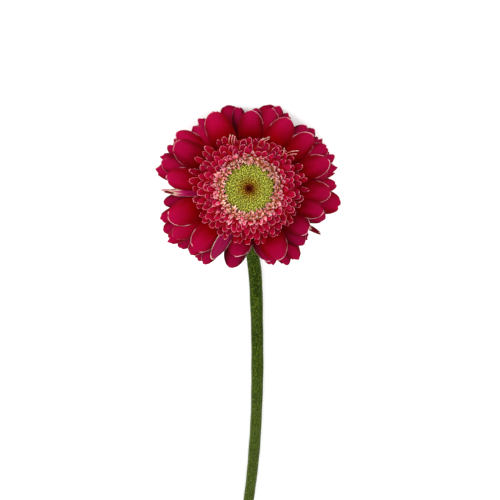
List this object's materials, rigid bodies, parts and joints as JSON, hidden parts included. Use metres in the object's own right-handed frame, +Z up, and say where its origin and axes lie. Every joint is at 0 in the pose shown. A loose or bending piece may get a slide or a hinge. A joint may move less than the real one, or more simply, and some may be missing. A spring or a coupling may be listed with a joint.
{
  "type": "cut gerbera",
  "caption": "Cut mini gerbera lying on its side: layered dark crimson ray florets, a frilled pink ring, a yellow-green disc with a maroon centre, and a bare green stem.",
  "frame": {"origin": "middle of the flower's outline seen from above, on the surface it lies on", "axes": "+Z up; the stem runs along -Y from the head to its cut end; the face of the head looks up and along +Y, 40 degrees off the vertical; +X across the head"},
  "size_m": [0.0696, 0.2542, 0.043],
  "materials": {
    "stem": "matte, downy green flower stem",
    "involucre": "matte green bracts",
    "ray_petal": "velvety crimson petal",
    "frill_petal": "velvety crimson petal with pale edges",
    "pale_petal": "soft pale pink petal",
    "disc": "matte yellow-green buds",
    "centre": "matte maroon buds"
  },
  "bodies": {
    "root": {"stem": "stem", "involucre": "involucre", "ray_florets": "ray_petal", "frill_florets": "frill_petal", "pale_florets": "pale_petal", "disc_florets": "disc", "centre_buds": "centre"}
  },
  "joints": []
}
